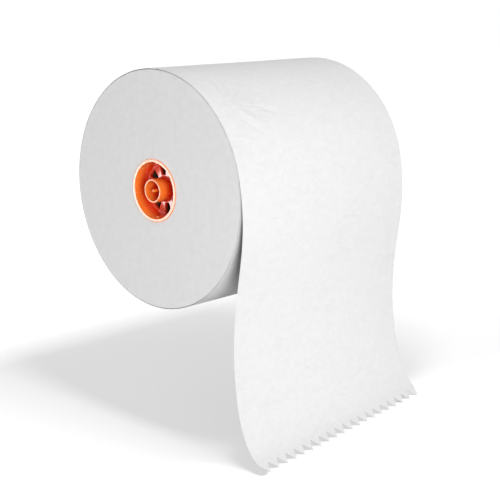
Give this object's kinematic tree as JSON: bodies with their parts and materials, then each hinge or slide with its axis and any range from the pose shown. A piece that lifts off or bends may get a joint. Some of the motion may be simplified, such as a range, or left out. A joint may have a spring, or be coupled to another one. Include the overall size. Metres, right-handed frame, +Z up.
{
  "type": "hardwound paper towel roll",
  "caption": "Wide roll of white paper towel on a cardboard core with a moulded orange plug in each end, its serrated free end hanging down in front.",
  "frame": {"origin": "on the roll's axis, in the plane of the near end face, inside the near plug's spigot", "axes": "+X along the roll's axis from the near end to the far end, -Y towards the side where the free end of the sheet hangs, +Z up"},
  "size_m": [0.208, 0.2284, 0.3129],
  "materials": {
    "paper": "soft matt white towel paper",
    "core_board": "plain brown board",
    "plug_plastic": "glossy orange moulding"
  },
  "bodies": {
    "root": {"paper_roll": "paper", "core_tube": "core_board", "core_plug_near": "plug_plastic", "core_plug_far": "plug_plastic"}
  },
  "joints": []
}
